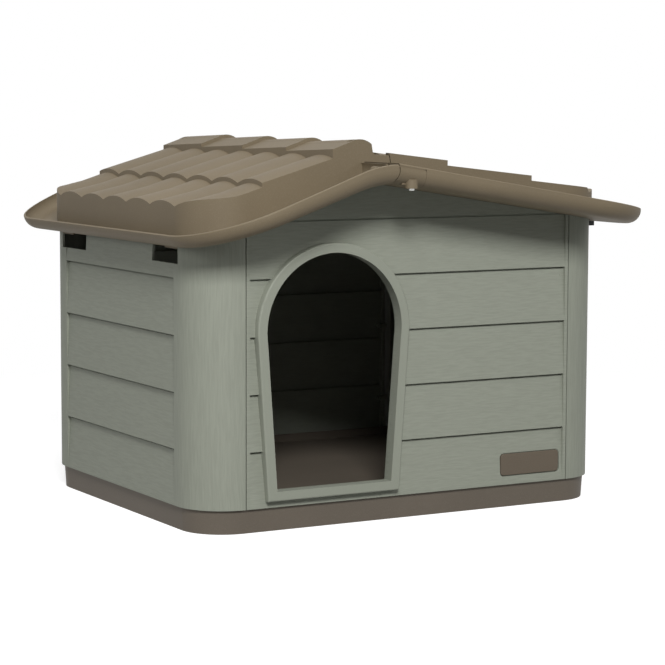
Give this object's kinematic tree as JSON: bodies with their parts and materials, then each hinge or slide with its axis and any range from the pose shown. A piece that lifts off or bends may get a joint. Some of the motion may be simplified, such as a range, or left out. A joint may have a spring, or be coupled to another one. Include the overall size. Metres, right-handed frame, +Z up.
{
  "type": "dog house",
  "caption": "Plastic dog house with planked walls, an arched doorway left of centre, and a tiled roof whose left half hinges open as a lid.",
  "frame": {"origin": "on the ground, under the middle of the floor tray", "axes": "+Z up, +X to the right along the front, and the doorway faces -Y"},
  "size_m": [0.7189, 0.691, 0.511],
  "materials": {
    "wall_plastic": "matte with an embossed wood grain",
    "roof_plastic": "matte, finely speckled",
    "base_plastic": "matte, finely speckled",
    "plate_plastic": "matte",
    "clip_plastic": "matte black",
    "pin_plastic": "matte",
    "screw_steel": "zinc plated"
  },
  "bodies": {
    "house": {"base_tray": "base_plastic", "front_wall": "wall_plastic", "rear_wall": "wall_plastic", "left_wall": "wall_plastic", "right_wall": "wall_plastic", "roof_fixed": "roof_plastic", "hinge_bracket_front": "roof_plastic", "hinge_bracket_rear": "roof_plastic", "hinge_pin_front": "pin_plastic", "hinge_pin_rear": "pin_plastic", "hinge_screw_front": "screw_steel", "hinge_screw_rear": "screw_steel", "roof_clip_front": "clip_plastic", "roof_clip_rear": "clip_plastic", "wall_screws_front": "screw_steel", "wall_screws_rear": "screw_steel", "name_plate": "plate_plastic"},
    "lid": {"roof_lid": "roof_plastic"}
  },
  "joints": [
    {"name": "lid_hinge", "type": "hinge", "parent": "house", "child": "lid", "pos_m": [-0.0995, 0, 0.472], "axis": [0, 1, 0], "range_deg": [0, 110]}
  ]
}
